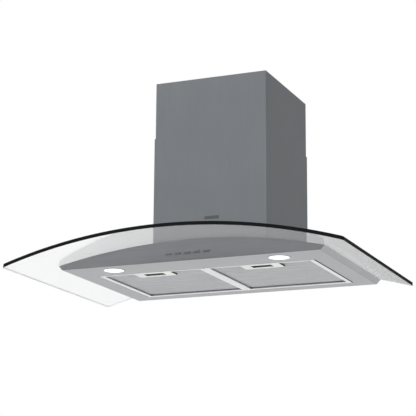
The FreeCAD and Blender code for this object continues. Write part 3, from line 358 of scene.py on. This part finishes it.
def dress_nodes():
    dress(brushed("chimney_brushed", STEEL, GRAIN_UP, spread=0.06),
          "upper_chimney", "upper_chimney_back", "lower_chimney", "lower_chimney_back")
    # the shell's faces that look left or right get painted light
    dress(brushed("fascia_brushed", FASCIA, GRAIN_ACROSS, painted_side_lighting=SIDE_STEEL_PAINTED_LIGHTER), "body_shell")
    dress(brushed("cover_brushed", STEEL, GRAIN_ACROSS), "top_cover")
    # the bottom panel gets painted light in its lighter steel, and painted shade in its gaps
    dress(brushed("panel_brushed", PANEL_STEEL_PAINTED_LIGHTER, GRAIN_ACROSS, roughness=0.4, gap_shade_painted=True), "bottom_panel")
    dress(brushed("badge_brushed", (0.20, 0.21, 0.22), GRAIN_ACROSS), "badge_plate")
    # the filter frames get painted shade on their recessed walls
    dress(brushed("filter_rolled", ALUMINIUM, GRAIN_DEEP, roughness=0.38, spread=0.05, gap_shade_painted=True),
          *pair("filter_frame"))
    dress(brushed("button_satin", (0.235, 0.24, 0.25), GRAIN_ACROSS, roughness=0.3),
          *["button_" + str(i + 1) for i in range(5)])
    dress(plated("zinc_plate", (0.62, 0.64, 0.66)), "ceiling_plate", "upper_rails", "lower_rails",
          "blower_box", "blower_lid", "centre_rib", "chimney_clips", "motor_bracket", "height_bolts")
    dress(plated("nickel_plate", (0.72, 0.71, 0.69), roughness=0.22, spangle=300.0), "back_screws",
          "flap_rod", "blower_shaft", *pair("latch_spring"))
    dress(plated("galvanised_wheel", (0.6, 0.62, 0.64), roughness=0.35, spangle=160.0), "blower_wheel")
    dress(plated("cast_aluminium", (0.7, 0.7, 0.71), roughness=0.45, spangle=400.0), "capacitor",
          *pair("lamp_body"))
    dress(plated("pressed_core", (0.5, 0.51, 0.52), roughness=0.4, spangle=500.0), *pair("filter_core"))
    dress(plated("bezel_satin", (0.5, 0.505, 0.51), roughness=0.25, spangle=60.0), *pair("lamp_bezel"))
    dress(lit_lens(), *pair("lamp_lens"))
    # the tray's faces that look left or right get painted shade, near black, and its gaps get painted
    # shade too
    dress(moulded("tray_cream", (0.84, 0.845, 0.8), gap_shade_painted=True, painted_side_lighting=(0.02, 0.02, 0.022)),
          *pair("latch_tray"))
    dress(moulded("slider_black", (0.035, 0.036, 0.04)), "switch_bank", "control_box", "control_box_lid",
          "terminal_block", "led_driver", *pair("latch_slider"))
    dress(moulded("blower_grey", (0.09, 0.09, 0.1)), "outlet_collar", "damper_flap_front",
          "damper_flap_rear", *pair("blower_housing"))
    dress(moulded("motor_paint", (0.2, 0.21, 0.22), roughness=0.4, grain=500.0), "motor")
    dress(circuit_board(), "control_board", "power_board")


# ---------------------------------------------------------------- expanded mesh of the filters
MESH_CELL_X = 0.0060         # long way of one diamond
MESH_CELL_Y = 0.0030         # short way
STRAND_WIDTH = 0.00085
STRAND_THICK = 0.0005
STRAND_WAVE = 0.00025        # how far the strands rise and fall
STRAND_SWING = 0.42          # how far they swing to each side, as a share of the row spacing
TRAY_FIT = 0.0004
WEAVE_STREAKS = (12.0, 300.0, 300.0)
WEAVE_GLOSS = (90.0, 90.0, 90.0)


def mesh_object(name, vertices, faces, material, body, smooth=False):
    mesh = bpy.data.meshes.new(name)
    mesh.from_pydata(vertices, [], faces)
    mesh.update()
    mesh.materials.append(material)
    if smooth:
        mesh.shade_smooth()
    thing = bpy.data.objects.new(name, mesh)
    bpy.context.scene.collection.objects.link(thing)
    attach(thing, body)
    return thing


def add_bar(vertices, faces, rings):
    """A closed bar through rings of points, each ring with the same number of points."""
    first = len(vertices)
    count = len(rings[0])
    for ring in rings:
        vertices += ring
    for k in range(len(rings) - 1):
        a = first + count * k
        for e in range(count):
            f = (e + 1) % count
            faces.append((a + e, a + f, a + count + f, a + count + e))
    last = first + count * (len(rings) - 1)
    faces.append(tuple(reversed(range(first, first + count))))
    faces.append(tuple(range(last, last + count)))


def section(x, near, far, low, high):
    """A rectangle across X."""
    return [(x, near, low), (x, far, low), (x, far, high), (x, near, high)]


def add_strand(vertices, faces, points, width):
    """A flat strand along points that run in X, if there are enough of them."""
    if len(points) > 1:
        add_bar(vertices, faces, [section(x, y - width / 2, y + width / 2,
                                          z - STRAND_THICK / 2, z + STRAND_THICK / 2)
                                  for x, y, z in points])


def mesh_layer(vertices, faces, x0, x1, y0, y1, z, tray, coarse=1.0):
    """Rows of zigzag strands whose peaks touch, left open where the latch tray sits."""
    step_x = MESH_CELL_X / 2 * coarse
    step_y = MESH_CELL_Y / 2 * coarse
    columns = int((x1 - x0) / step_x)
    rows = int((y1 - y0) / step_y)
    tray_x0, tray_x1, tray_y1 = tray
    for j in range(rows):
        y = y0 + (j + 0.5) * step_y
        run = []
        for i in range(columns + 1):
            x = x0 + i * step_x
            sign = 1 if (i + j) % 2 else -1
            if y < tray_y1 and tray_x0 < x < tray_x1:
                add_strand(vertices, faces, run, STRAND_WIDTH * coarse)
                run = []
            else:
                run.append((x, y + sign * step_y * STRAND_SWING, z + sign * STRAND_WAVE))
        add_strand(vertices, faces, run, STRAND_WIDTH * coarse)


def filter_meshes():
    """Expanded aluminium, a fine lower layer and a coarse upper one, in each filter."""
    m = Material("expanded_aluminium", WEAVE, metallic=1.0, roughness=0.4)
    m.feed("Base Color", m.ramp(m.noise(WEAVE_STREAKS), tones(WEAVE, 0.12)))
    m.feed("Roughness", m.span(m.noise(WEAVE_GLOSS), 0.32, 0.5))
    for side in SIDES:
        low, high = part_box("filter_mesh_" + side)
        tray_low, tray_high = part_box("latch_tray_" + side)
        tray = (tray_low.x - TRAY_FIT, tray_high.x + TRAY_FIT, tray_high.y + TRAY_FIT)
        vertices = []
        faces = []
        inset = STRAND_WAVE + STRAND_THICK / 2
        mesh_layer(vertices, faces, low.x, high.x, low.y, high.y, low.z + inset, tray)
        mesh_layer(vertices, faces, low.x, high.x, low.y, high.y, high.z - inset, tray, coarse=2.0)
        piece = mesh_object("filter_weave_" + side, vertices, faces, m.data, "filter_" + side)
        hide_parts("filter_mesh_" + side)


# ---------------------------------------------------------------- rolled lips of the filters
LIP_SHEET = 0.00025
LIP_ROLL = 0.0006            # outer radius of the rolled edge
LIP_FIT = 0.00015            # gap left between a lip and what is beside it
LIP_FRONT = 0.005            # width of the front lip
LIP_SEAM = 0.0025            # width of the one that closes the seam
LIP_LEG = 0.0012             # how far a lip reaches up beside its frame
ROLL_STEPS = 4


def lip_profile(width):
    """Section of a lip as (across, up) from its outer lower corner, inner side last."""
    outer = [(0.0, LIP_LEG)]
    for k in range(ROLL_STEPS + 1):
        a = math.pi / 2 * k / ROLL_STEPS
        outer.append((LIP_ROLL * (1 - math.cos(a)), LIP_ROLL * (1 - math.sin(a))))
    outer.append((width, 0.0))
    return outer + [(width, LIP_SHEET), (LIP_ROLL, LIP_SHEET), (LIP_SHEET, LIP_ROLL), (LIP_SHEET, LIP_LEG)]


def add_lip(vertices, faces, width, place, start, end):
    """A lip of this width from start to end, put in the room by place."""
    profile = lip_profile(width)
    add_bar(vertices, faces, [[place(across, up, along) for across, up in profile]
                              for along in (start, end)])


def filter_lips():
    """A rolled lip along each filter's front edge, and one that closes the seam between them."""
    material = brushed("lip_rolled", ALUMINIUM, GRAIN_ACROSS, roughness=0.38, spread=0.04)
    opening_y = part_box("centre_rib")[0].y
    for side in SIDES:
        low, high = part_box("filter_frame_" + side)
        base = low.z - LIP_SHEET
        vertices = []
        faces = []

        def front(across, up, along):
            return along, opening_y + LIP_FIT + across, base + up

        add_lip(vertices, faces, LIP_FRONT, front, low.x, high.x)
        if side == "left":
            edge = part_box("filter_frame_right")[0].x - LIP_FIT

            def seam(across, up, along):
                return edge - across, along, base + up

            add_lip(vertices, faces, LIP_SEAM, seam, low.y + LIP_FRONT, high.y)
        piece = mesh_object("filter_lip_" + side, vertices, faces, material, "filter_" + side)
        fix_normals(piece)


def fix_normals(piece):
    """Turns every face outward."""
    shape = bmesh.new()
    shape.from_mesh(piece.data)
    bmesh.ops.recalc_face_normals(shape, faces=shape.faces)
    shape.to_mesh(piece.data)
    shape.free()


# ---------------------------------------------------------------- glass canopy
GLASS_THICK = 0.009
GLASS_UNDER_R = 1.5678       # radius of the arch's underside
GLASS_BOW = 0.015            # how far the front edge bows out in the middle
GLASS_CORNER = 0.008
HOLE_GAP = 0.003             # between the blower box and the cut-out
ARRIS = 0.0007               # small chamfer along the ground edges
GLASS_COLUMN = 0.006         # widest spacing of the grid across the arch
GLASS_ROWS = [26, 26, 2]     # grid rows in front of, beside and behind the cut-out
CORNER_STEPS = 6
HARD_EDGE = math.radians(25)
NEARLY = 1e-6


def spaced(start, end, widest):
    """Evenly spaced numbers from start up to end, without end itself."""
    steps = max(1, math.ceil((end - start) / widest))
    return [start + (end - start) * k / steps for k in range(steps)]


def corner_angles():
    return [math.pi / 2 * k / CORNER_STEPS for k in range(CORNER_STEPS)]


def border_of(cells):
    """Each point on the border of the cells, with the one after it."""
    steps = dict.fromkeys((a, b) for cell in cells for a, b in zip(cell, cell[1:] + cell[:1]))
    return {a: b for a, b in steps if (b, a) not in steps}


def glass_canopy():
    """Arched sheet with rounded corners, chamfered ground edges and a square cut-out."""
    low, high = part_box("glass_canopy")
    half = high.x - ARRIS
    rear = high.y - ARRIS
    nose = low.y + ARRIS
    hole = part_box("blower_box")[1].x + HOLE_GAP + ARRIS
    radius = GLASS_CORNER - ARRIS
    arch_z = high.z - GLASS_THICK - GLASS_UNDER_R
    bow_radius = (half ** 2 + GLASS_BOW ** 2) / (2 * GLASS_BOW)

    def height(x, rise):
        return arch_z + math.sqrt((GLASS_UNDER_R + rise) ** 2 - x * x)

    def corner(x):
        """How far the outline has turned back at a corner."""
        past = max(0.0, abs(x) - (half - radius))
        return radius - math.sqrt(radius ** 2 - past ** 2)

    def rows(x):
        """The grid's places along Y at this x."""
        front = nose + bow_radius - math.sqrt(bow_radius ** 2 - x * x) + corner(x)
        back = rear - corner(x)
        bands = [(front, -hole), (-hole, hole), (hole, back)]
        return [a + (b - a) * k / n for (a, b), n in zip(bands, GLASS_ROWS) for k in range(n)] + [back]

    turned = [half - radius * (1 - math.cos(a)) for a in corner_angles()]
    right = spaced(0.0, hole, GLASS_COLUMN) + spaced(hole, half - radius, GLASS_COLUMN)
    right += [half - radius] + turned[::-1]
    columns = [-x for x in right[:0:-1]] + right

    first, last, rear_row = GLASS_ROWS[0], sum(GLASS_ROWS[:2]), sum(GLASS_ROWS)
    grid = {}
    plan = []
    for i, x in enumerate(columns):
        for j, y in enumerate(rows(x)):
            if not (abs(x) < hole - NEARLY and first < j < last):
                grid[i, j] = len(plan)
                plan.append((x, y))
    cells = []
    for i in range(len(columns) - 1):
        for j in range(rear_row):
            ring = [(i, j), (i + 1, j), (i + 1, j + 1), (i, j + 1)]
            in_hole = abs(columns[i] + columns[i + 1]) / 2 < hole and first <= j < last
            if not in_hole:
                cells.append([grid[key] for key in ring])

    border = border_of(cells)
    before = {b: a for a, b in border.items()}

    count = len(plan)
    vertices = [(x, y, height(x, GLASS_THICK)) for x, y in plan]
    vertices += [(x, y, height(x, 0.0)) for x, y in plan]
    faces = [tuple(cell) for cell in cells]
    faces += [tuple(count + k for k in reversed(cell)) for cell in cells]
    surface_faces = len(faces)
    upper = {}
    lower = {}
    for k in border:
        ahead = Vector(plan[border[k]]) - Vector(plan[before[k]])
        out = Vector((ahead.y, -ahead.x)).normalized() * ARRIS
        x, y = Vector(plan[k]) + out
        upper[k] = len(vertices)
        vertices.append((x, y, height(x, GLASS_THICK) - ARRIS))
        lower[k] = len(vertices)
        vertices.append((x, y, height(x, 0.0) + ARRIS))
    for a, b in border.items():
        faces.append((b, a, upper[a], upper[b]))
        faces.append((upper[b], upper[a], lower[a], lower[b]))
        faces.append((lower[b], lower[a], count + a, count + b))

    piece = mesh_object("canopy_glass", vertices, faces, clear_glass(), "hood",
                        smooth=True)
    piece.data.materials.append(glass_edge_painted_light())
    for face in piece.data.polygons[surface_faces:]:
        face.material_index = 1
    piece.data.set_sharp_from_angle(angle=HARD_EDGE)
    piece.visible_shadow = False
    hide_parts("glass_canopy")


SEAL_WIDTH = 0.009
SEAL_GAP = 0.00005           # keeps the seal just clear of the cover and the glass
SEAL_STEP = 0.006            # widest step along the arch


def glass_seal():
    """The clear seal under the glass, in steps fine enough to follow the arch."""
    low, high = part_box("glass_gasket")
    glass_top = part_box("glass_canopy")[1].z
    under_z = glass_top - GLASS_THICK
    arch_z = under_z - GLASS_UNDER_R
    seal_thick = under_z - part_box("top_cover")[1].z

    def top(x):
        return arch_z + math.sqrt((GLASS_UNDER_R - SEAL_GAP) ** 2 - x * x)

    def bottom(x):
        return arch_z + math.sqrt((GLASS_UNDER_R - seal_thick + SEAL_GAP) ** 2 - x * x)

    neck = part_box("blower_box")[1].x + HOLE_GAP
    lip = neck + SEAL_WIDTH
    vertices = []
    faces = []
    bars = [(low.x, high.x, low.y, low.y + SEAL_WIDTH), (low.x, high.x, high.y - SEAL_WIDTH, high.y),
            (low.x, low.x + SEAL_WIDTH, low.y + SEAL_WIDTH, high.y - SEAL_WIDTH),
            (high.x - SEAL_WIDTH, high.x, low.y + SEAL_WIDTH, high.y - SEAL_WIDTH),
            (-lip, lip, -lip, -neck), (-lip, -neck, -neck, neck), (neck, lip, -neck, neck)]
    for x0, x1, y0, y1 in bars:
        xs = spaced(x0, x1, SEAL_STEP) + [x1]
        add_bar(vertices, faces, [section(x, y0, y1, bottom(x), top(x)) for x in xs])
    piece = mesh_object("seal_strip", vertices, faces, soft_seal(), "hood")
    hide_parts("glass_gasket")


# ---------------------------------------------------------------- studio
def add_floor():
    corners = [(-FLOOR_HALF, -FLOOR_HALF), (FLOOR_HALF, -FLOOR_HALF),
               (FLOOR_HALF, FLOOR_HALF), (-FLOOR_HALF, FLOOR_HALF)]
    mesh = bpy.data.meshes.new("studio_floor")
    mesh.from_pydata([(x, y, FLOOR_Z) for x, y in corners], [], [(0, 1, 2, 3)])
    mesh.materials.append(floor_paint())
    floor = bpy.data.objects.new("studio_floor", mesh)
    bpy.context.scene.collection.objects.link(floor)


BRIGHT_SIDE = (-0.75, -0.55, -0.35)     # the room is lighter in front, low and to the left
ROOM_TONES = [(0.2, (0.32, 0.322, 0.325)), (0.6, (0.46, 0.465, 0.47))]


def add_world():
    """White behind the object and through its glass, a soft grey room in reflections."""
    world = bpy.data.worlds.new("studio_world")
    world.use_nodes = True
    bpy.context.scene.world = world
    nodes = world.node_tree.nodes
    links = world.node_tree.links
    nodes.clear()
    output = nodes.new("ShaderNodeOutputWorld")
    mix = nodes.new("ShaderNodeMixShader")
    room = nodes.new("ShaderNodeBackground")
    white = nodes.new("ShaderNodeBackground")
    white.inputs["Color"].default_value = (1.0, 1.0, 1.0, 1.0)
    path = nodes.new("ShaderNodeLightPath")
    bounces = nodes.new("ShaderNodeMath")
    bounces.operation = "ADD"
    links.new(path.outputs["Glossy Depth"], bounces.inputs[0])
    links.new(path.outputs["Diffuse Depth"], bounces.inputs[1])
    straight = nodes.new("ShaderNodeMath")
    straight.operation = "LESS_THAN"
    straight.inputs[1].default_value = 0.5      # less than one bounce, which is none
    links.new(bounces.outputs["Value"], straight.inputs[0])
    coords = nodes.new("ShaderNodeTexCoord")
    lean = nodes.new("ShaderNodeVectorMath")
    lean.operation = "DOT_PRODUCT"
    lean.inputs[1].default_value = BRIGHT_SIDE
    links.new(coords.outputs["Generated"], lean.inputs[0])
    level = nodes.new("ShaderNodeMapRange")
    level.inputs["From Min"].default_value = -1.0
    links.new(lean.outputs["Value"], level.inputs["Value"])
    ramp = nodes.new("ShaderNodeValToRGB")
    for element, (position, colour) in zip(ramp.color_ramp.elements, ROOM_TONES):
        element.position = position
        element.color = (*colour, 1.0)
    links.new(level.outputs["Result"], ramp.inputs["Fac"])
    links.new(ramp.outputs["Color"], room.inputs["Color"])
    links.new(straight.outputs["Value"], mix.inputs["Fac"])
    links.new(room.outputs["Background"], mix.inputs[1])
    links.new(white.outputs["Background"], mix.inputs[2])
    links.new(mix.outputs["Shader"], output.inputs["Surface"])


OVERHEAD_FROM = (-0.25, -0.2, 1.0)
OVERHEAD_POWER = 2.2
OVERHEAD_SPREAD = math.radians(75)


def add_lights():
    """One very soft light from above, like a large panel lamp."""
    light = bpy.data.lights.new("overhead_light", "SUN")
    light.energy = OVERHEAD_POWER
    light.angle = OVERHEAD_SPREAD
    thing = bpy.data.objects.new("overhead_light", light)
    thing.rotation_euler = Vector(OVERHEAD_FROM).to_track_quat("Z", "Y").to_euler()
    bpy.context.scene.collection.objects.link(thing)


def add_camera():
    yaw, pitch, roll = CAMERA_YAW, CAMERA_PITCH, CAMERA_ROLL
    ahead = Vector((-math.sin(yaw) * math.cos(pitch), math.cos(yaw) * math.cos(pitch),
                    math.sin(pitch)))
    level = Vector((math.cos(yaw), math.sin(yaw), 0.0))
    above = level.cross(ahead)
    right = math.cos(roll) * level + math.sin(roll) * above
    up = math.cos(roll) * above - math.sin(roll) * level
    data = bpy.data.cameras.new("camera")
    data.lens = CAMERA_LENS
    data.sensor_width = CAMERA_SENSOR
    data.clip_end = CAMERA_FAR
    camera = bpy.data.objects.new("camera", data)
    turn = Matrix((right, up, -ahead)).transposed().to_4x4()
    camera.matrix_world = Matrix.Translation(CAMERA_PLACE) @ turn
    bpy.context.scene.collection.objects.link(camera)
    bpy.context.scene.camera = camera


# ---------------------------------------------------------------- build the scene
dress_nodes()
glass_canopy()
glass_seal()
filter_meshes()
filter_lips()
add_floor()
add_world()
add_lights()
add_camera()
bpy.context.scene.view_settings.view_transform = "Standard"
